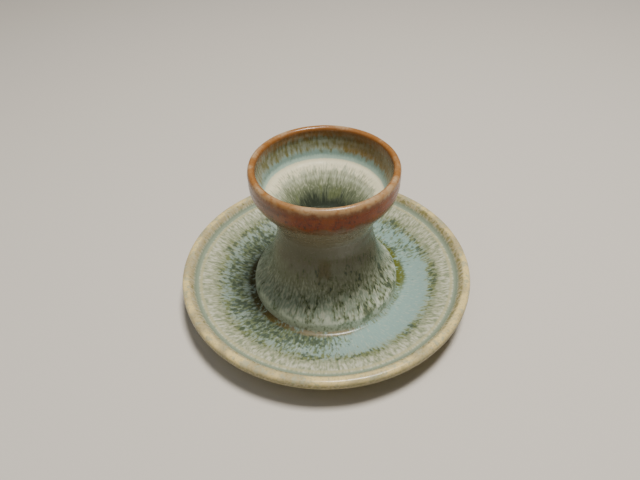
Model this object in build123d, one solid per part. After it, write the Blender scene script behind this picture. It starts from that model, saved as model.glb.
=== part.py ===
from build123d import *
import math
import os

# Stoneware communion chalice fired in one with its paten. A thrown cup is luted with slip
# to a hollow thrown pedestal, and the pedestal to a footed plate; glaze covers the rest.
# Millimetres. The origin is the centre of the foot ring on the surface it stands on, +Z up,
# and everything is round about Z. Radii and heights are of the glazed surface, and every
# outline is a chain of corners of the half section, each rounded by an arc.

# ---- driving dimensions ----------------------------------------------------------------
# cup, with drops measured down from the top of the lip
bowl_height = 29.6
rim_radius = 36.4
lip_thickness = 4.0
belly_drop = 12.3
belly_bend = 13.0
cup_wall_drop = 9.0
cup_wall_bend = 14.0
crease_below_belly = 7.9
crease_wall = 3.3
crease_bend = 1.6
shoulder_below_belly = 13.4
shoulder_wall = 5.0
shoulder_bend = 7.0
well_radius = 11.6
well_bend = 9.0
cup_base = 5.6
cup_pool_depth = 2.6
hip_bend = 20.0
neck_length = 12.4

# pedestal
waist_radius = 24.7
waist_height = 41.0
waist_bend = 26.0
flare_radius = 31.0
flare_height = 21.0
flare_bend = 24.0
ankle_rise = 7.2
ankle_bend = 6.0
foot_radius = 39.4
foot_height = 5.6
foot_bend = 0.8
pedestal_wall = 4.6
neck_joint_drop = 2.8

# paten, the plate under the pedestal
paten_radius = 78.0
paten_height = 18.9
bead_width = 4.3
bead_depth = 5.2
bead_bend = 2.0
dish_radius = 50.0
dish_rise = 1.5
dish_bend = 60.0
ridge_inset = 9.6
ridge_drop = 4.3
ridge_bend = 0.9
groove_inset = 7.6
groove_drop = 5.0
groove_bend = 1.5
brim_inset = 9.0
brim_drop = 8.6
brim_bend = 12.0
sweep_radius = 60.0
sweep_height = 5.8
sweep_bend = 50.0

# turned foot ring under the paten
ring_radius = 47.6
ring_width = 7.2
ring_recess = 1.2
ring_height = 2.4
ring_batter = 1.2
ring_bend = 0.4
vent_diameter = 3.0

# clay, slip and glaze
glaze = 0.5
slip = 0.6
bare_height = 1.4
foot_pool_width = 3.2
foot_pool_rise = 1.7
foot_pool_lip = 0.25
run_share = 0.49

# ---- worked-out places -----------------------------------------------------------------
hip_height = waist_height + neck_length
rim_height = hip_height + bowl_height
cup_mouth_radius = rim_radius - lip_thickness
lip_bend = 0.48 * lip_thickness
lip_middle = rim_radius - lip_thickness / 2
neck_joint_height = waist_height - neck_joint_drop
cup_floor_height = neck_joint_height + slip + cup_base
seat_height = foot_height - glaze
paten_floor_height = seat_height - slip
bead_middle_height = paten_height - bead_depth / 2
ring_inner = ring_radius - ring_width
past_axis = 4 * pedestal_wall

# ---- outlines: corners as (radius, height, bend) ---------------------------------------
belly = Vector(rim_radius, rim_height - belly_drop)
down_flank = (Vector(waist_radius, hip_height) - belly).normalized()
into_wall = down_flank.rotate(Axis.Z, -90)
crease = belly + down_flank * crease_below_belly + into_wall * crease_wall
shoulder = belly + down_flank * shoulder_below_belly + into_wall * shoulder_wall

cup_inside = [
    (well_radius, cup_floor_height, well_bend),
    (shoulder.X, shoulder.Y, shoulder_bend),
    (crease.X, crease.Y, crease_bend),
    (cup_mouth_radius, rim_height - cup_wall_drop, cup_wall_bend),
]
lip = [
    (cup_mouth_radius, rim_height, lip_bend),
    (rim_radius, rim_height, lip_bend),
]
cup_outside = [
    (belly.X, belly.Y, belly_bend),
    (waist_radius, hip_height, hip_bend),
]
pedestal_outside = [
    (waist_radius, waist_height, waist_bend),
    (flare_radius, flare_height, flare_bend),
    (foot_radius, foot_height + ankle_rise, ankle_bend),
]
foot_crease = [(foot_radius, foot_height, foot_bend)]
paten_top = [
    (dish_radius, foot_height + dish_rise, dish_bend),
    (paten_radius - ridge_inset, paten_height - ridge_drop, ridge_bend),
    (paten_radius - groove_inset, paten_height - groove_drop, groove_bend),
    (paten_radius - bead_width, paten_height, bead_bend),
    (paten_radius, paten_height, bead_bend),
]
paten_underside = [
    (paten_radius, paten_height - bead_depth, bead_bend),
    (paten_radius - brim_inset, paten_height - brim_drop, brim_bend),
    (sweep_radius, sweep_height, sweep_bend),
    (ring_radius + ring_batter, ring_height, ring_bend),
]
foot_ring = [
    (ring_radius, 0, ring_bend),
    (ring_inner, 0, ring_bend),
    (ring_inner - ring_recess, ring_recess, ring_bend),
]


def fitting_bends(points, bends):
    """Each corner's bend, made smaller where the straight runs beside it are too short."""
    fitted = []
    for before, corner, after, bend in zip(points, points[1:], points[2:], bends):
        arriving = Vector(*corner) - Vector(*before)
        leaving = Vector(*after) - Vector(*corner)
        half_turn = math.radians(arriving.get_angle(leaving)) / 2
        longest_tangent = run_share * min(arriving.length, leaving.length)
        fitted.append(min(bend, longest_tangent / math.tan(half_turn)))
    return fitted


def region(start, corners, end, *closing):
    """A flat region of the half section: rounded corners from start to end, then straight back."""
    points = [start, *[corner[:2] for corner in corners], end]
    bends = fitting_bends(points, [corner[2] for corner in corners])
    outline = FilletPolyline(*points, radius=bends) + Polyline(end, *closing, start)
    return make_face(outline.edges())


def zone(inner, outer, low, high):
    """A rectangle of the half section, between two radii and two heights."""
    return Pos((inner + outer) / 2, (low + high) / 2) * Rectangle(outer - inner, high - low)


def whole_form():
    """The glazed form, filled solid and carried past the axis."""
    corners = cup_inside + lip + cup_outside + pedestal_outside + foot_crease
    corners += paten_top + paten_underside + foot_ring
    return region((-past_axis, cup_floor_height), corners, (-past_axis, ring_recess))


def bare_zone():
    """Where no glaze goes: the foot ring, wiped clean for the kiln shelf, and its recess."""
    ring_middle = ring_radius - ring_width / 2
    recess = zone(-past_axis, ring_middle, 0, ring_recess + 2 * glaze)
    return recess + zone(ring_middle, paten_radius, 0, bare_height)


def stem_hollow():
    """Air inside the pedestal, one wall in from its outside, between paten and cup."""
    above = waist_height + foot_radius
    below = foot_height - foot_radius
    pillar = region(
        (waist_radius, above),
        pedestal_outside,
        (foot_radius, below),
        (-foot_radius, below),
        (-foot_radius, above),
    )
    core = offset(pillar, -(glaze + pedestal_wall))
    return core & zone(0, foot_radius, paten_floor_height, neck_joint_height + slip)


def inner_side():
    """The air in the cup and half a lip's thickness round it."""
    above = 2 * rim_height
    air = region(
        (-past_axis, cup_floor_height),
        cup_inside,
        (cup_mouth_radius, above),
        (-past_axis, above),
    )
    return offset(air, lip_thickness / 2)


def under_side():
    """The air below the paten and a little way into it, up to the middle of the bead."""
    beyond = 2 * paten_radius
    air = region(
        (paten_radius, paten_height),
        paten_underside,
        (ring_radius, 0),
        (beyond, 0),
        (beyond, paten_height),
    )
    return offset(air, 2 * glaze) & zone(0, paten_radius, bare_height, bead_middle_height)


def foot_pool(form):
    """Glassy glaze run down into the crease at the pedestal's foot, with a hollow top."""
    upper = (foot_radius - foot_pool_rise / 4, foot_height + foot_pool_rise)
    middle = (foot_radius + foot_pool_width / 4, foot_height + foot_pool_rise / 3)
    outer = (foot_radius + foot_pool_width, foot_height + foot_pool_lip)
    hidden = (foot_radius - foot_pool_rise, foot_height - foot_pool_rise)
    outline = ThreePointArc(upper, middle, outer) + Polyline(outer, hidden, upper)
    return make_face(outline.edges()) - form


def cup_pool(form):
    """Glassy glaze lying at the bottom of the cup, level on top."""
    level = cup_floor_height + cup_pool_depth
    return zone(0, waist_radius - pedestal_wall, neck_joint_height, level) - form


def write(name, section):
    """Turn a half section about Z and save it as one sub-part."""
    right_half = section & zone(0, 2 * paten_radius, 0, 2 * rim_height)
    export_step(revolve(Plane.XZ * right_half, Axis.Z), f"parts/{name}.step")


os.makedirs("parts", exist_ok=True)

form = whole_form()
fired_clay = offset(form, -glaze) + (form & bare_zone())
clay = fired_clay - stem_hollow()
skin = form - fired_clay

above_slip = zone(0, paten_radius, neck_joint_height + slip, rim_height)
neck_slip = zone(0, paten_radius, neck_joint_height, neck_joint_height + slip)
above_joint = zone(0, paten_radius, neck_joint_height, rim_height)
stem = zone(0, foot_radius, seat_height, neck_joint_height)
foot_slip = zone(0, foot_radius - glaze, paten_floor_height, seat_height)
vent = zone(0, vent_diameter / 2, 0, paten_floor_height)

write("cup", clay & above_slip)
write("neck_luting_slip", clay & neck_slip)
write("pedestal", clay & stem)
write("foot_luting_slip", clay & foot_slip)
write("paten", clay - above_joint - stem - foot_slip - vent)

write("cup_inside_glaze", skin & inner_side())
write("cup_outside_glaze", (skin & above_joint) - inner_side())
write("pedestal_glaze", skin & stem)
write("paten_underside_glaze", skin & under_side())
write("paten_top_glaze", skin - above_joint - stem - under_side())
write("cup_glaze_pool", cup_pool(form))
write("foot_glaze_pool", foot_pool(form))
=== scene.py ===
import math

import bmesh
import bpy
import numpy as np
from mathutils import Matrix, Vector, noise
from mathutils.kdtree import KDTree


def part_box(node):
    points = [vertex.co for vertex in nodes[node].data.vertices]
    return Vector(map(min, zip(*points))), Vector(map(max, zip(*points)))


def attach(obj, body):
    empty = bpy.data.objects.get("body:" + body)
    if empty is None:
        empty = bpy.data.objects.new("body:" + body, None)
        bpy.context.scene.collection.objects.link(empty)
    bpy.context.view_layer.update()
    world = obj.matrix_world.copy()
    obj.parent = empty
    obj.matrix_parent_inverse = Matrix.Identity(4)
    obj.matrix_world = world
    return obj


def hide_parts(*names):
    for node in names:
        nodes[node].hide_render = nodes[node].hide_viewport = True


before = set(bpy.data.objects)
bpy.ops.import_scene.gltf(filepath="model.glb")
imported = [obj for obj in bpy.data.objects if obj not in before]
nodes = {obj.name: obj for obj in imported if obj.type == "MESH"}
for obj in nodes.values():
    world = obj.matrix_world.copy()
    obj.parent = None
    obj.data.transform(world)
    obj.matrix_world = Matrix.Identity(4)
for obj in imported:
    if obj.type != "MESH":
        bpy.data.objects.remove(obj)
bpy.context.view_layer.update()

# A hand-thrown stoneware communion chalice, fired in one with its paten. The clay pieces are
# the CAD parts. Each glaze is a shell spun from the CAD outline, with the throwing rings and
# the unevenness of a poured glaze pressed into it before it gets its thickness.

MM = 0.001
TINY = 0.001 * MM

# How finely the coats are made: steps round the pot and along its outline.
AROUND = 420
OUTLINE_STEP = 0.55 * MM
FINE_STEP = 0.2 * MM
LARGEST_GAP = 5 * FINE_STEP
SEAM_GAP = 0.02 * MM
SOFTENED = 4
SHARP_EDGE = math.radians(40)

# The potter's marks and the waves of the glaze: how far apart and how deep.
FINGER_PITCH, FINGER_DEPTH = 3.8 * MM, 0.16 * MM
TURNED_PITCH, TURNED_DEPTH = 2.4 * MM, 0.08 * MM
WAVE_SIZE, WAVE_DEPTH = 5 * MM, 0.14 * MM
PATCH_SIZE = 13 * MM

# The rust glaze is a second coat. It ends this far below the rim, in a soft step with drips.
RUST_BELOW_RIM, RUST_STEP, RUST_EDGE = 13 * MM, 0.1 * MM, 2.5 * MM
RUST_DRIP, DRIP_SIZE = 3 * MM, 6 * MM

# Where the marks fade out: round the foot's crease, and above the pool in the well, whose
# mouth is this many pool radii wide.
CALM_FOOT = (1.5 * MM, 6 * MM)
CALM_WELL = 4 * MM
WELL_SPREAD = 1.7

GLAZES = (
    "cup_inside_glaze",
    "cup_outside_glaze",
    "pedestal_glaze",
    "paten_top_glaze",
    "paten_underside_glaze",
)
CLAYS = ("cup", "pedestal", "paten")
SLIPS = ("neck_luting_slip", "foot_luting_slip")

paten_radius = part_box("paten_top_glaze")[1].x
glaze_thickness = paten_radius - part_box("paten")[1].x
rim_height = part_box("cup_outside_glaze")[1].z
lip_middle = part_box("cup_inside_glaze")[1].x
foot_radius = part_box("pedestal_glaze")[1].x
cup_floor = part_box("cup_glaze_pool")[0].z
pool_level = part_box("cup_glaze_pool")[1].z
pool_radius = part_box("cup_glaze_pool")[1].x
crease_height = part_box("pedestal_glaze")[0].z + glaze_thickness
bead_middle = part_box("paten_underside_glaze")[1].z


# ---------------------------------------------------------------- shapes

# Edit mode picks faces, so that a coat's other faces can be picked and deleted.
bpy.context.tool_settings.mesh_select_mode = (False, False, True)


def only(obj):
    """Make one object the active one and the only one selected."""
    bpy.ops.object.select_all(action="DESELECT")
    obj.select_set(True)
    bpy.context.view_layer.objects.active = obj


def section_edges(name):
    """The edges of a CAD node's half section, each as two (radius, height) points."""
    copy = bmesh.new()
    copy.from_mesh(nodes[name].data)
    bmesh.ops.remove_doubles(copy, verts=copy.verts, dist=TINY)
    everything = copy.verts[:] + copy.edges[:] + copy.faces[:]
    cut = bmesh.ops.bisect_plane(
        copy, geom=everything, dist=TINY, plane_co=(0, 0, 0), plane_no=(0, 1, 0)
    )
    edges = []
    for edge in (item for item in cut["geom_cut"] if isinstance(item, bmesh.types.BMEdge)):
        ends = [vertex.co for vertex in edge.verts]
        if max(end.x for end in ends) > TINY:
            edges.append([Vector((max(end.x, 0.0), end.z)) for end in ends])
    copy.free()
    return edges


def distance_to_edge(point, edge):
    """How far a point of the half section is from an edge."""
    run = edge[1] - edge[0]
    share = (point - edge[0]).dot(run) / max(run.length_squared, TINY * TINY)
    return (edge[0] + run * min(max(share, 0.0), 1.0) - point).length


def exposed_points():
    """Closely spaced points of the glazed surface, each with the glaze that it belongs to."""
    sections = {name: section_edges(name) for name in GLAZES + CLAYS}
    found = []
    for name in GLAZES:
        others = [edge for other in sections if other != name for edge in sections[other]]
        for start, end in sections[name]:
            count = math.ceil((end - start).length / FINE_STEP)
            for i in range(count):
                point = start.lerp(end, (i + 0.5) / count)
                if all(distance_to_edge(point, edge) > SEAM_GAP for edge in others):
                    found.append((point, name))
    return found


def glazed_outline():
    """The glazed surface from the middle of the cup to the foot ring, in even short steps.

    Returns the points, softened as fired glaze leaves its edges, and each point's glaze."""
    loose = exposed_points()
    chain = [min(loose, key=lambda item: item[0].x + abs(item[0].y - cup_floor))]
    loose.remove(chain[0])
    while loose:
        after = min(loose, key=lambda item: (item[0] - chain[-1][0]).length)
        if (after[0] - chain[-1][0]).length > LARGEST_GAP:
            break
        chain.append(after)
        loose.remove(after)
    line = np.array([(0.0, cup_floor)] + [tuple(point) for point, _ in chain])
    owner = [chain[0][1]] + [name for _, name in chain]
    along = np.concatenate([[0.0], np.cumsum(np.linalg.norm(np.diff(line, axis=0), axis=1))])
    even = np.linspace(0, along[-1], round(along[-1] / OUTLINE_STEP))
    line = np.stack([np.interp(even, along, line[:, i]) for i in range(2)], axis=1)
    owner = [owner[i] for i in np.searchsorted(along, even).clip(0, len(owner) - 1)]
    for _ in range(SOFTENED):
        line[1:-1] = (line[:-2] + 2 * line[1:-1] + line[2:]) / 4
    return line, owner


def throw_pot(line):
    """The whole glazed surface as one open skin, spun from its outline, facing outwards."""
    mesh = bpy.data.meshes.new("thrown_skin")
    points = [(radius, 0.0, height) for radius, height in line]
    mesh.from_pydata(points, [(i, i + 1) for i in range(len(points) - 1)], [])
    skin = bpy.data.objects.new("thrown_skin", mesh)
    bpy.context.scene.collection.objects.link(skin)
    only(skin)
    bpy.ops.object.mode_set(mode="EDIT")
    bpy.ops.mesh.select_all(action="SELECT")
    bpy.ops.mesh.spin(steps=AROUND, angle=math.tau, center=(0, 0, 0), axis=(0, 0, 1))
    bpy.ops.mesh.select_all(action="SELECT")
    bpy.ops.mesh.remove_doubles(threshold=TINY)
    bpy.ops.mesh.normals_make_consistent(inside=False)
    bpy.ops.object.mode_set(mode="OBJECT")
    top = max(mesh.polygons, key=lambda face: face.center.z)
    if top.normal.z < 0:
        mesh.flip_normals()
    return skin


def positions(obj):
    """A mesh's points as radius, angle and height arrays."""
    co = np.empty(len(obj.data.vertices) * 3)
    obj.data.vertices.foreach_get("co", co)
    x, y, z = co.reshape(-1, 3).T
    return np.hypot(x, y), np.arctan2(y, x), z


def nearest_station(obj, line):
    """For each point of a spun mesh, the outline point that it came from."""
    tree = KDTree(len(line))
    for i, (radius, height) in enumerate(line):
        tree.insert((radius, height, 0), i)
    tree.balance()
    radius, _, height = positions(obj)
    return np.array([tree.find((r, h, 0))[1] for r, h in zip(radius, height)])


def smooth_step(low, high, value):
    """0 below low, 1 above high, and a smooth rise between; the other way if low is above."""
    share = np.clip((value - low) / (high - low), 0, 1)
    return share * share * (3 - 2 * share)


def uneven(angle, along, size, seed):
    """Smooth noise from 0 to 1 over the wall, in lumps of about a size, meeting itself round."""
    girth = 40 * MM
    samples = zip(np.cos(angle) * girth / size, np.sin(angle) * girth / size, along / size)
    return np.array([noise.noise(Vector(p) + Vector((seed, 0, 0))) for p in samples]) * 0.5 + 0.5


def pressed_depth(skin, line, station):
    """How deep each point is pressed in: finger rings, turning rings, waves, and the bare side
    of the rust glaze's edge. The two glassy pools' seats and the stem under the well stay plain."""
    step = np.linalg.norm(np.diff(line, axis=0), axis=1)
    along = np.concatenate([[0.0], np.cumsum(step)])[station]
    radius, angle, height = positions(skin)
    on_paten = (radius > foot_radius) * 1.0
    within_lip = radius < lip_middle
    spiral = angle / math.tau
    patches = uneven(angle, along, PATCH_SIZE, seed=3.0)
    finger = (0.5 + 0.5 * np.sin(math.tau * (along / FINGER_PITCH + spiral))) * patches
    turned = (0.5 + 0.5 * np.sin(math.tau * (along / TURNED_PITCH + spiral))) * patches
    waves = uneven(angle, along, WAVE_SIZE, seed=11.0)
    drips = uneven(angle, 0 * along, DRIP_SIZE, seed=23.0)
    rust_edge = rim_height - RUST_BELOW_RIM + RUST_DRIP * (drips - 0.5)
    under_rust = smooth_step(rust_edge, rust_edge - RUST_EDGE, height) * (1 - on_paten)
    under_rust *= radius > pool_radius * WELL_SPREAD
    depth = FINGER_DEPTH * finger * (1 - on_paten) + TURNED_DEPTH * turned * on_paten
    depth += WAVE_DEPTH * waves + RUST_STEP * under_rust
    depth *= smooth_step(*CALM_FOOT, np.hypot(radius - foot_radius, height - crease_height))
    well = smooth_step(pool_level, pool_level + CALM_WELL, height)
    return depth * np.where(within_lip, well, 1.0)


def press_in(skin, line):
    """Press the marks a little into the skin. Returns each point's place on the outline."""
    station = nearest_station(skin, line)
    depth = pressed_depth(skin, line, station)
    deepest = depth.max()
    weights = skin.vertex_groups.new(name="pressed")
    for i, weight in enumerate(depth / deepest):
        weights.add([i], float(weight), "REPLACE")
    press = skin.modifiers.new("pressed", "DISPLACE")
    press.vertex_group = weights.name
    press.mid_level = 0
    press.strength = -deepest
    only(skin)
    bpy.ops.object.modifier_apply(modifier=press.name)
    skin.vertex_groups.clear()
    return station


def take_glaze(skin, name, owner, station):
    """Cut one glaze off the skin along the CAD pieces' own borders and give it its thickness."""
    mesh = skin.data
    mine = np.array([glaze == name for glaze in owner])
    loops = np.empty(len(mesh.loops), int)
    mesh.loops.foreach_get("vertex_index", loops)
    starts = np.empty(len(mesh.polygons), int)
    mesh.polygons.foreach_get("loop_start", starts)
    last = np.maximum.reduceat(station[loops], starts)
    piece_mesh = mesh.copy()
    piece_mesh.name = name + "_coat"
    piece = bpy.data.objects.new(name + "_coat", piece_mesh)
    bpy.context.scene.collection.objects.link(piece)
    only(piece)
    piece_mesh.vertices.foreach_set("select", np.zeros(len(mesh.vertices), bool))
    piece_mesh.edges.foreach_set("select", np.zeros(len(mesh.edges), bool))
    piece_mesh.polygons.foreach_set("select", ~mine[last])
    piece_mesh.update()
    bpy.ops.object.mode_set(mode="EDIT")
    bpy.ops.mesh.delete(type="FACE")
    bpy.ops.object.mode_set(mode="OBJECT")
    wall = piece.modifiers.new("wall", "SOLIDIFY")
    wall.thickness = glaze_thickness
    wall.offset = -1
    bpy.ops.object.modifier_apply(modifier=wall.name)
    bpy.ops.object.shade_smooth_by_angle(angle=SHARP_EDGE)
    return piece


# ---------------------------------------------------------------- materials


def linear(code):
    """An sRGB hex colour as linear RGBA."""
    shares = [int(code[i:i + 2], 16) / 255 for i in (0, 2, 4)]
    bent = [c / 12.92 if c <= 0.04045 else ((c + 0.055) / 1.055) ** 2.4 for c in shares]
    return (*bent, 1.0)


def add(tree, kind, inputs, out=0, **settings):
    """Add a node with its settings, set or link its inputs, and return one of its outputs."""
    node = tree.nodes.new("ShaderNode" + kind)
    for key, value in settings.items():
        setattr(node, key, value)
    for key, value in inputs.items():
        if isinstance(value, bpy.types.NodeSocket):
            tree.links.new(value, node.inputs[key])
        else:
            node.inputs[key].default_value = value
    return node.outputs[out] if node.outputs else None


def new_material(name):
    """An empty material and its node tree."""
    material = bpy.data.materials.new(name)
    material.use_nodes = True
    material.node_tree.nodes.clear()
    return material, material.node_tree


def place_on_pot(tree):
    """Where a shading point is, in mm: its position, height, radius and bearing. A noise on
    the position takes 1 over the size of its lumps, in mm, as its scale."""
    where = add(tree, "TexCoord", {}, out="Object")
    in_mm = add(tree, "VectorMath", {0: where, "Scale": 1 / MM}, operation="SCALE")
    height = add(tree, "SeparateXYZ", {0: in_mm}, out="Z")
    flat = add(tree, "VectorMath", {0: in_mm, 1: (1, 1, 0)}, operation="MULTIPLY")
    radius = add(tree, "VectorMath", {0: flat}, out="Value", operation="LENGTH")
    bearing = add(tree, "VectorMath", {0: flat}, operation="NORMALIZE")
    return {"spot": in_mm, "height": height, "radius": radius, "bearing": bearing}


def runs(tree, place, lengthwise, girth, width, stretch, seed, detail):
    """Noise in runs down the wall: lumps of a width round a girth, stretched lengthwise, in mm."""
    ring = add(tree, "VectorMath", {0: place["bearing"], "Scale": girth / width}, operation="SCALE")
    slow = add(tree, "Math", {0: lengthwise, 1: 1 / (width * stretch)}, operation="MULTIPLY")
    lift = add(tree, "CombineXYZ", {"Z": slow})
    spot = add(tree, "VectorMath", {0: ring, 1: lift}, operation="ADD")
    moved = add(tree, "VectorMath", {0: spot, 1: (seed, seed, seed)}, operation="ADD")
    return add(tree, "TexNoise", {"Vector": moved, "Scale": 1.0, "Detail": detail})


def ragged(tree, value, noise_value, amount):
    """A value pushed to and fro by noise, so that a border on it comes out ragged."""
    push = add(tree, "MapRange", {"Value": noise_value, "From Min": 0.3, "From Max": 0.7,
                                  "To Min": -amount, "To Max": amount}, clamp=False)
    return add(tree, "Math", {0: value, 1: push}, operation="ADD")


def band(value, start, end, soft):
    """The two places that hold together between a start and an end, with soft borders."""
    return (value, start - soft, start + soft), (value, end + soft, end - soft)


def facing(tree, place, degrees, spread, soft):
    """The place that faces a compass angle, within a spread: right is 0 and front is -90."""
    angle = math.radians(degrees)
    toward = {0: place["bearing"], 1: (math.cos(angle), math.sin(angle), 0)}
    share = add(tree, "VectorMath", toward, out="Value", operation="DOT_PRODUCT")
    low = math.cos(math.radians(min(spread + soft, 180)))
    high = math.cos(math.radians(max(spread - soft, 0)))
    return share, low, high


def kept_to(tree, strength, places):
    """A strength that fades out beyond each of its places. A place is a value, where on it the
    glaze starts, and where it lies full."""
    for value, start, full in places:
        ends = {"Value": value, "From Min": start, "From Max": full}
        rise = add(tree, "MapRange", ends, interpolation_type="SMOOTHSTEP")
        strength = add(tree, "Math", {0: rise, 1: strength}, operation="MULTIPLY")
    return strength


def shifted(tree, value, *shifts):
    """A value pushed up or down, by each amount in that amount's places."""
    for amount, *places in shifts:
        shift = kept_to(tree, amount, places)
        value = add(tree, "Math", {0: value, 1: shift}, operation="ADD")
    return value


def lay(tree, under, *layers):
    """Lay glazes over a colour, first to last: each is a colour, its strength and its places."""
    for over, strength, *places in layers:
        base, top = (linear(c) if isinstance(c, str) else c for c in (under, over))
        inputs = {0: kept_to(tree, strength, places), 6: base, 7: top}
        under = add(tree, "Mix", inputs, out=2, data_type="RGBA")
    return under


# Colours of the fired glazes, as sRGB.
# The lip cream is glaze colour in patches, and is also laid as a painted highlight along the front
# of the lip.
LIP_TAN, LIP_CREAM_AND_HIGHLIGHT, LIP_OCHRE = "96693A", "B09470", "86501C"
BEAD_CREAM, BEAD_SAND, BEAD_OLIVE = "E0CB8E", "B3A67E", "7E7A48"
MILK, OATMEAL, GREY_GREEN, RIDGE_SAND = "C2C3AE", "A6A98E", "848D72", "ADAA84"
SKY, SKY_DULL, SKY_PALE, SKY_GREY = "88A49E", "8A9B91", "ABC5B8", "86927E"
MOSS, OLIVE_GLASS, PINE = "616B3C", "5C6120", "404C40"
# The treacle is dark glass that is also painted shade at the left of the crease, and the sandstone
# is a painted highlight along the front of the crease.
TREACLE_AND_SHADE, AMBER, PAINTED_CREASE_HIGHLIGHT = "433D1C", "66572A", "8E8468"
STONE_LOW, STONE_MID, STONE_HIGH, STONE_WARM = "98A692", "80856F", "6F6C5C", "7F7662"
FOOT_GREEN = "D3DAC7"
RUST, RUST_DARK, RUST_ORANGE, RUST_THIN = "7D3400", "512002", "924A02", "6E5239"
CREAM, CREAM_GREY, WELL_GREEN, WELL_DEEP = "E6E0C0", "B7BBA2", "6C745C", "30372D"
WALL_OLIVE, WALL_GREY, WALL_BROWN, WALL_DARK = "6B6836", "8E9484", "876534", "8E6036"

# Colours of the bare clay, and of the paper under the pot.
CLAY, CLAY_TOASTED, CLAY_GRIT, IRON_SPECK = "A4835E", "94714C", "BFA07A", "3B2A1C"
PAPER = "D2CDC4"

# Where a colour starts and where it lies full, in mm: radii on the paten, then heights.
DISH, DOT_RING, CREASE = (60, 54), (56.4, 60.2), (43.2, 41.2)
RIDGE, GROOVE, FLANK, BEAD = (67.6, 69.0), (69.5, 71.6), (71.6, 72.4), (73.4, 74.6)
UNDER_BEAD, FOOT_BAND, ABOVE_FOOT = (18.3, 16.6), (14.5, 10.5), (9, 16)
RUST_THINS, RUST_FULL = (64, 70), (69.8, 73)
LIP_THINS, LIP_BREAKS = (77.6, 79.6), (79.4, 81.6)
LINING_LIP_DROP = 1.9

# A fired glaze is a glass. Its roughness runs a little to and fro, and its orange-peel is fine.
GLASS_IOR, GLASS_SHINE = 1.52, 0.32
GLOSSY, SATIN, SHEEN_SPREAD = 0.24, 0.4, 0.06
PEEL_STRENGTH, PEEL_DEPTH = 0.12, 0.25 * MM

# Bare clay is matt, with turning lines 1.3 mm apart.
CLAY_IOR, CLAY_ROUGHNESS = 1.5, 0.82
CLAY_RING_PITCH = 1.3
CLAY_RELIEF, CLAY_RELIEF_DEPTH = 0.5, 0.12 * MM


def fired_glaze(material, tree, place, colour, roughness=GLOSSY):
    """A fired glaze: a smooth glass with a slight orange-peel, glossier where it lay thick."""
    waves = add(tree, "TexNoise", {"Vector": place["spot"], "Scale": 1 / 1.43, "Detail": 3.0})
    sheen = add(tree, "MapRange", {"Value": waves, "From Min": 0.3, "From Max": 0.7,
                                   "To Min": roughness - SHEEN_SPREAD,
                                   "To Max": roughness + SHEEN_SPREAD})
    peel = add(tree, "TexNoise", {"Vector": place["spot"], "Scale": 1 / 0.625, "Detail": 4.0})
    bump = add(tree, "Bump", {"Height": peel, "Strength": PEEL_STRENGTH, "Distance": PEEL_DEPTH})
    shader = add(tree, "BsdfPrincipled", {"Base Color": colour, "Roughness": sheen,
                                          "IOR": GLASS_IOR, "Specular IOR Level": GLASS_SHINE,
                                          "Normal": bump})
    add(tree, "OutputMaterial", {"Surface": shader})
    return material


def breaking_lip(tree, place, under, drip):
    """Glaze thinned over the lip, where the clay warms it: ochre, then tan, cream in patches, and a
    painted cream highlight along the front of the lip.
    """
    patches = add(tree, "TexNoise", {"Vector": place["spot"], "Scale": 1 / 11.1, "Detail": 5.0})
    grain = add(tree, "TexNoise", {"Vector": place["spot"], "Scale": 1 / 1.25, "Detail": 4.0})
    skin = lay(
        tree, LIP_TAN,
        (LIP_CREAM_AND_HIGHLIGHT, 1, (patches, 0.44, 0.64)),
        # Cream laid on the side of the lip that faces the front is a painted highlight, not glaze
        # colour.
        (LIP_CREAM_AND_HIGHLIGHT, 0.6, facing(tree, place, -80, 26, 22)),
        (LIP_OCHRE, 0.6, (grain, 0.5, 0.72)),
    )
    return lay(tree, under, (LIP_OCHRE, 0.75, (drip, *LIP_THINS)), (skin, 1, (drip, *LIP_BREAKS)))


def breaking_bead(tree, place, under):
    """The rolled edge of the paten, where the glaze breaks to warm cream and sand, with olive
    grains, and darker where it is worn underneath."""
    patches = add(tree, "TexNoise", {"Vector": place["spot"], "Scale": 1 / 14.3, "Detail": 3.0})
    mottle = add(tree, "TexNoise", {"Vector": place["spot"], "Scale": 1 / 2.86, "Detail": 5.0})
    grain = add(tree, "TexNoise", {"Vector": place["spot"], "Scale": 1.0, "Detail": 4.0})
    worn = lay(tree, BEAD_SAND, (BEAD_OLIVE, 1, (grain, 0.36, 0.58)))
    edge = lay(
        tree, BEAD_CREAM,
        (BEAD_SAND, 1, (patches, 0.42, 0.62)),
        (OATMEAL, 0.7, (mottle, 0.5, 0.62)),
        (BEAD_OLIVE, 0.35, (grain, 0.5, 0.66)),
        (worn, 0.85, (ragged(tree, place["height"], grain, 0.5), *UNDER_BEAD)),
    )
    return lay(tree, under, (edge, 1, (place["radius"], *BEAD)))


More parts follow.
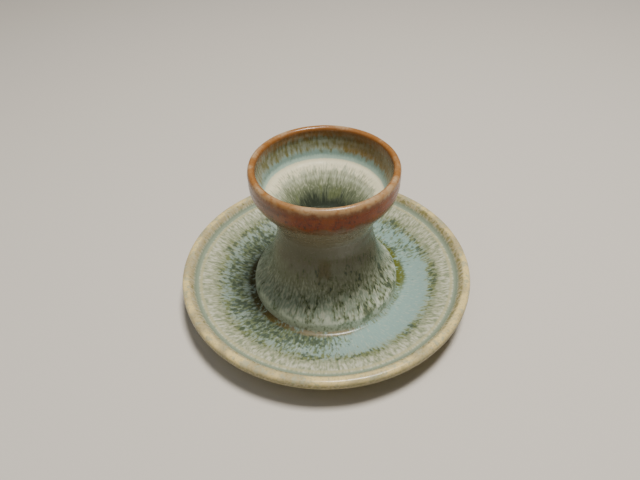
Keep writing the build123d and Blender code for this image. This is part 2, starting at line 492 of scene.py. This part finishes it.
def paten_glaze():
    """Stoneware glaze with rutile, dipped: milky where thin, pale blue where it pooled in the
    dish, with green and dark flecks combed outwards and warm cream where it broke on the bead."""
    material, tree = new_material("rutile_stoneware_glaze_pooled")
    place = place_on_pot(tree)
    radius = place["radius"]
    fine = runs(tree, place, radius, girth=60, width=1.0, stretch=3.0, seed=1.0, detail=4.0)
    combed = runs(tree, place, radius, girth=56, width=1.2, stretch=2.4, seed=7.0, detail=5.0)
    lumps = runs(tree, place, radius, girth=58, width=2.0, stretch=1.3, seed=13.0, detail=5.0)
    drift = runs(tree, place, radius, girth=50, width=8.0, stretch=1.0, seed=19.0, detail=3.0)

    inward = ragged(tree, radius, combed, 2.6)
    blue = lay(tree, SKY_DULL, (SKY, 1, facing(tree, place, -12, 78, 34)))
    colour = lay(
        tree, OATMEAL,
        (MILK, 1, (fine, 0.5, 0.62)),
        (GREY_GREEN, 1, (fine, 0.5, 0.38)),
        (GREY_GREEN, 0.65, (inward, 65, 59)),
        (blue, 1, (inward, *DISH)),
        (MILK, 0.28, (fine, 0.52, 0.66), (radius, 57, 53)),
    )

    # Flecks crowd at the left, in the ring of dots, before the foot and at the right back, and
    # leave the blue pool at the right front nearly clear.
    crowding = shifted(
        tree, add(tree, "Math", {0: drift, 1: 0.35}, operation="MULTIPLY"),
        (0.1, facing(tree, place, 190, 75, 50), (radius, 58, 51), (radius, 42, 48)),
        (0.05, *band(radius, *DOT_RING, 1.4)),
        (0.08, facing(tree, place, -112, 42, 20), (radius, 51, 45)),
        (0.1, facing(tree, place, 25, 26, 16), (radius, 48, 44)),
        (-0.2, facing(tree, place, -36, 38, 24), (radius, 41, 43.5), (radius, 59, 54)),
    )
    flecks = add(tree, "Math", {0: combed, 1: crowding}, operation="ADD")
    clots = add(tree, "Math", {0: lumps, 1: crowding}, operation="ADD")
    colour = lay(
        tree, colour,
        (MOSS, 0.75, (flecks, 0.66, 0.82), (radius, 64, 60)),
        (PINE, 0.8, (clots, 0.7, 0.88), (radius, 63, 60)),
    )

    # Glass run down into the crease: olive and wide at the right, dark at the left, where it is
    # painted darker still as shade, a painted sandy highlight along the front, and worn away beside
    # the blue pool.
    glass = lay(
        tree, AMBER,
        # At the left the dark glass is also painted shade, darker than the glaze itself.
        (TREACLE_AND_SHADE, 1, facing(tree, place, 176, 36, 20)),
        (OLIVE_GLASS, 1, facing(tree, place, 22, 50, 20)),
        # The sandy colour along the front of the crease is a painted highlight.
        (PAINTED_CREASE_HIGHLIGHT, 1, facing(tree, place, -88, 20, 14)),
    )
    reach = shifted(
        tree, ragged(tree, radius, lumps, 1.1),
        (-2.6, facing(tree, place, 22, 32, 14)),
        (-1.2, facing(tree, place, 192, 34, 20)),
    )
    broken = ragged(tree, lumps, drift, 0.08)
    left_over = shifted(tree, 0.9, (-0.675, facing(tree, place, -42, 20, 20)))

    # The groove is blue, and olive specks lie between it and the bead, most at the right.
    specks = runs(tree, place, radius, girth=74, width=1.5, stretch=1.0, seed=31.0, detail=5.0)
    specks = shifted(tree, specks, (0.09, facing(tree, place, 0, 50, 30)))
    flank = lay(
        tree, BEAD_SAND,
        (MILK, 0.4, (fine, 0.45, 0.65)),
        (BEAD_OLIVE, 0.8, (specks, 0.53, 0.66)),
    )
    colour = lay(
        tree, colour,
        (glass, left_over, (reach, *CREASE), (broken, 0.34, 0.5)),
        (RIDGE_SAND, 0.8, *band(radius, *RIDGE, 0.5)),
        (SKY_GREY, 1, *band(radius, *GROOVE, 0.5)),
        (flank, 1, (ragged(tree, radius, fine, 0.4), *FLANK)),
    )
    return fired_glaze(material, tree, place, breaking_bead(tree, place, colour))


def underside_glaze():
    """The same glaze wiped thin under the paten, satin, with iron specks showing through."""
    material, tree = new_material("rutile_stoneware_glaze_thin")
    place = place_on_pot(tree)
    patches = add(tree, "TexNoise", {"Vector": place["spot"], "Scale": 1 / 9.1, "Detail": 4.0})
    grain = add(tree, "TexNoise", {"Vector": place["spot"], "Scale": 1 / 0.77, "Detail": 5.0})
    colour = lay(
        tree, BEAD_SAND,
        (OATMEAL, 1, (patches, 0.38, 0.62)),
        (AMBER, 0.6, (grain, 0.6, 0.72)),
    )
    return fired_glaze(material, tree, place, breaking_bead(tree, place, colour), SATIN)


def outside_glaze():
    """Rutile glaze run down the pedestal in grey, green and brown flecks, under a second dip
    of iron glaze round the cup that fired rust-red and broke to tan and cream on the lip, with a
    painted highlight along the front of the lip."""
    material, tree = new_material("iron_over_rutile_glaze_dipped")
    place = place_on_pot(tree)
    height = place["height"]
    fine = runs(tree, place, height, girth=30, width=0.9, stretch=2.4, seed=2.0, detail=4.0)
    flecks = runs(tree, place, height, girth=30, width=1.3, stretch=2.0, seed=9.0, detail=5.0)
    patches = runs(tree, place, height, girth=30, width=4.5, stretch=1.6, seed=17.0, detail=4.0)
    drips = runs(tree, place, height, girth=33, width=3.4, stretch=2.0, seed=29.0, detail=4.0)
    lip_drips = runs(tree, place, height, girth=36, width=2.4, stretch=2.5, seed=37.0, detail=4.0)

    # The flecks crowd low on the right, are few at the left, and stop below the cup.
    uneven_height = ragged(tree, height, patches, 3.5)
    crowded = shifted(
        tree, add(tree, "Math", {0: patches, 1: 0.6, 2: flecks}, operation="MULTIPLY_ADD"),
        (-0.16, (uneven_height, 42, 50)),
        (0.03, facing(tree, place, -88, 34, 26), *band(height, 28, 44, 5)),
        (0.07, facing(tree, place, -30, 26, 20), *band(height, 10, 23, 3)),
        (-0.12, facing(tree, place, 198, 42, 22)),
    )
    moss_strength = shifted(tree, 0.5, (0.2, (height, *ABOVE_FOOT)))
    colour = lay(
        tree, STONE_LOW,
        (STONE_MID, 1, (uneven_height, 15, 29)),
        (STONE_HIGH, 1, (uneven_height, 29, 42)),
        (STONE_WARM, 1, (height, 46, 58)),
        (MILK, 0.7, (fine, 0.5, 0.62), (uneven_height, 36, 20)),
        (STONE_HIGH, 0.5, (fine, 0.48, 0.36)),
        (FOOT_GREEN, 0.85, (uneven_height, *FOOT_BAND)),
        (MOSS, 0.34, (fine, 0.47, 0.37), (uneven_height, *FOOT_BAND)),
        (MOSS, moss_strength, (crowded, 0.8, 0.93)),
        (PINE, 0.9, (crowded, 0.88, 1.0), (height, *ABOVE_FOOT)),
        (AMBER, patches, facing(tree, place, -91, 4, 5), *band(uneven_height, 34, 42, 3)),
    )

    iron = lay(
        tree, RUST,
        (RUST_DARK, 1, (fine, 0.48, 0.64)),
        (RUST_ORANGE, 0.7, (patches, 0.46, 0.62)),
        (RUST_ORANGE, 0.4, facing(tree, place, -15, 40, 30)),
        (WALL_GREY, 0.35, facing(tree, place, 215, 20, 16)),
    )
    dripping = ragged(tree, height, drips, 1.6)
    colour = lay(
        tree, colour,
        (RUST_THIN, 1, (dripping, *RUST_THINS)),
        (iron, 1, (dripping, *RUST_FULL)),
    )
    colour = breaking_lip(tree, place, colour, ragged(tree, height, lip_drips, 1.0))
    return fired_glaze(material, tree, place, colour)


def lining_glaze():
    """Rutile glaze poured round the cup: brown under the lip, olive and grey down the wall,
    pale blue in the crease, cream on the shoulder, and combed into a dark glassy well."""
    material, tree = new_material("rutile_stoneware_glaze_poured")
    place = place_on_pot(tree)
    height = place["height"]
    fine = runs(tree, place, height, girth=26, width=1.0, stretch=1.8, seed=3.0, detail=4.0)
    streaks = runs(tree, place, height, girth=26, width=1.5, stretch=3.0, seed=11.0, detail=4.0)
    broad = runs(tree, place, height, girth=26, width=5.0, stretch=1.6, seed=23.0, detail=3.0)
    thin = runs(tree, place, height, girth=26, width=0.8, stretch=4.5, seed=41.0, detail=3.0)

    streaked = ragged(tree, height, streaks, 1.6)
    wall = lay(
        tree, WALL_GREY,
        (WALL_OLIVE, 0.85, (streaks, 0.38, 0.66)),
        (WALL_BROWN, 0.6, facing(tree, place, 28, 34, 30)),
        (WALL_DARK, 0.7, (streaked, 75.5, 79.6)),
        (SKY, 0.9, (streaked, 72, 68.6)),
        (SKY_PALE, 1, (ragged(tree, height, fine, 0.5), 68.8, 67)),
    )

    depth = ragged(tree, ragged(tree, height, thin, 2.2), broad, 1.6)
    shoulder = lay(
        tree, CREAM,
        (CREAM_GREY, 1, (depth, 63.6, 60.6)),
        (WELL_GREEN, 1, (depth, 61, 55)),
        (WELL_DEEP, 1, (depth, 55.5, 48)),
        (MOSS, 0.4, (broad, 0.5, 0.6), *band(depth, 51, 58, 2)),
        (GREY_GREEN, 0.6, (fine, 0.5, 0.64), *band(height, 57, 64, 1.5)),
        (CREAM_GREY, 0.5, (fine, 0.46, 0.36), *band(height, 54, 63, 2)),
    )
    colour = lay(tree, shoulder, (wall, 1, (ragged(tree, height, fine, 0.2), 65.8, 66.6)))
    near_lip = ragged(tree, height, fine, 0.4)
    drip = add(tree, "Math", {0: near_lip, 1: LINING_LIP_DROP}, operation="SUBTRACT")
    return fired_glaze(material, tree, place, breaking_lip(tree, place, colour, drip))


def bare_stoneware():
    """Stoneware clay turned and fired bare: warm toasted brown, gritty, with dark iron specks."""
    material, tree = new_material("bare_stoneware_turned")
    place = place_on_pot(tree)
    toast = add(tree, "TexNoise", {"Vector": place["spot"], "Scale": 1 / 28.6, "Detail": 3.0})
    grit = add(tree, "TexNoise", {"Vector": place["spot"], "Scale": 1 / 0.455, "Detail": 4.0})
    iron = add(tree, "TexVoronoi", {"Vector": place["spot"], "Scale": 1 / 1.82, "Randomness": 1.0})
    colour = lay(
        tree, CLAY,
        (CLAY_TOASTED, 1, (toast, 0.3, 0.7)),
        (CLAY_GRIT, 0.5, (grit, 0.5, 0.7)),
        (IRON_SPECK, 1, (iron, 0.16, 0.1)),
    )
    per_mm = math.tau / CLAY_RING_PITCH
    turns = add(tree, "Math", {0: place["radius"], 1: per_mm}, operation="MULTIPLY")
    rings = add(tree, "Math", {0: turns}, operation="SINE")
    relief = add(tree, "Math", {0: rings, 1: 0.4, 2: grit}, operation="MULTIPLY_ADD")
    bump = add(tree, "Bump", {"Height": relief, "Strength": CLAY_RELIEF,
                              "Distance": CLAY_RELIEF_DEPTH})
    shader = add(tree, "BsdfPrincipled", {"Base Color": colour, "Roughness": CLAY_ROUGHNESS,
                                          "IOR": CLAY_IOR, "Normal": bump})
    add(tree, "OutputMaterial", {"Surface": shader})
    return material


def studio_paper():
    """Matt backdrop paper, uncoated."""
    material, tree = new_material("matt_studio_paper")
    shader = add(tree, "BsdfPrincipled", {"Base Color": linear(PAPER), "Roughness": 0.9})
    add(tree, "OutputMaterial", {"Surface": shader})
    return material


# ---------------------------------------------------------------- making the pot

line, owner = glazed_outline()
skin = throw_pot(line)
station = press_in(skin, line)

dish = paten_glaze()
outside = outside_glaze()
lining = lining_glaze()
clay = bare_stoneware()
coats = {
    "cup_inside_glaze": (lining, "cup_lining_glaze"),
    "cup_outside_glaze": (outside, "rust_glaze"),
    "pedestal_glaze": (outside, "rutile_glaze"),
    "paten_top_glaze": (dish, "paten_glaze"),
    "paten_underside_glaze": (underside_glaze(), "underside_glaze"),
}
for name, (material, slot) in coats.items():
    piece = take_glaze(skin, name, owner, station)
    piece.data.materials.clear()
    piece.data.materials.append(material)
    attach(piece, "root")
    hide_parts(name)
bpy.data.objects.remove(skin)

finishes = {name: clay for name in CLAYS + SLIPS}
finishes["cup_glaze_pool"] = lining
finishes["foot_glaze_pool"] = dish
for name, material in finishes.items():
    nodes[name].data.materials.clear()
    nodes[name].data.materials.append(material)

# ---------------------------------------------------------------- floor, light and camera

FLOOR_SIZE = 4
FLOOR_DROP = 0.05 * MM
ROOM_LIGHT, ROOM_TINT = 0.09, (1.0, 0.97, 0.93, 1)

bpy.ops.mesh.primitive_plane_add(size=FLOOR_SIZE, location=(0, 0, -FLOOR_DROP))
floor = bpy.context.object
floor.name = "studio_floor"
floor.data.materials.append(studio_paper())

world = bpy.data.worlds.new("studio")
bpy.context.scene.world = world
world.use_nodes = True
room = world.node_tree.nodes["Background"]
room.inputs["Color"].default_value = ROOM_TINT
room.inputs["Strength"].default_value = ROOM_LIGHT


def soft_box(name, place, size, power, tint):
    """A square soft box aimed at the middle of the pot."""
    data = bpy.data.lights.new(name, "AREA")
    data.size, data.energy, data.color = size, power, tint
    light = bpy.data.objects.new(name, data)
    bpy.context.scene.collection.objects.link(light)
    light.location = place
    aim = Vector((0, 0, rim_height / 2)) - light.location
    light.rotation_euler = aim.to_track_quat("-Z", "Y").to_euler()


soft_box("overhead", (0.16, 0.0, 1.1), size=0.25, power=17, tint=(1.0, 0.95, 0.88))
soft_box("sky", (-0.5, -0.3, 1.2), size=0.9, power=2, tint=(0.94, 0.97, 1.0))

# The camera's place from the middle of the bead, in paten radii.
CAMERA_BACK = 2.667
CAMERA_UP = 2.635
PITCH, YAW, ROLL = (math.radians(angle) for angle in (42.04, 0.76, -1.46))
FOCAL_LENGTH, SENSOR_WIDTH = 29.73, 36
NEAREST_SEEN = 0.01

camera_data = bpy.data.cameras.new("camera")
camera_data.lens = FOCAL_LENGTH
camera_data.sensor_width = SENSOR_WIDTH
camera_data.clip_start = NEAREST_SEEN
camera = bpy.data.objects.new("camera", camera_data)
bpy.context.scene.collection.objects.link(camera)
camera.location = (0, -CAMERA_BACK * paten_radius, bead_middle + CAMERA_UP * paten_radius)
turn = Matrix.Rotation(YAW, 3, "Z") @ Matrix.Rotation(math.pi / 2 - PITCH, 3, "X")
camera.rotation_euler = (turn @ Matrix.Rotation(ROLL, 3, "Z")).to_euler()
bpy.context.scene.camera = camera
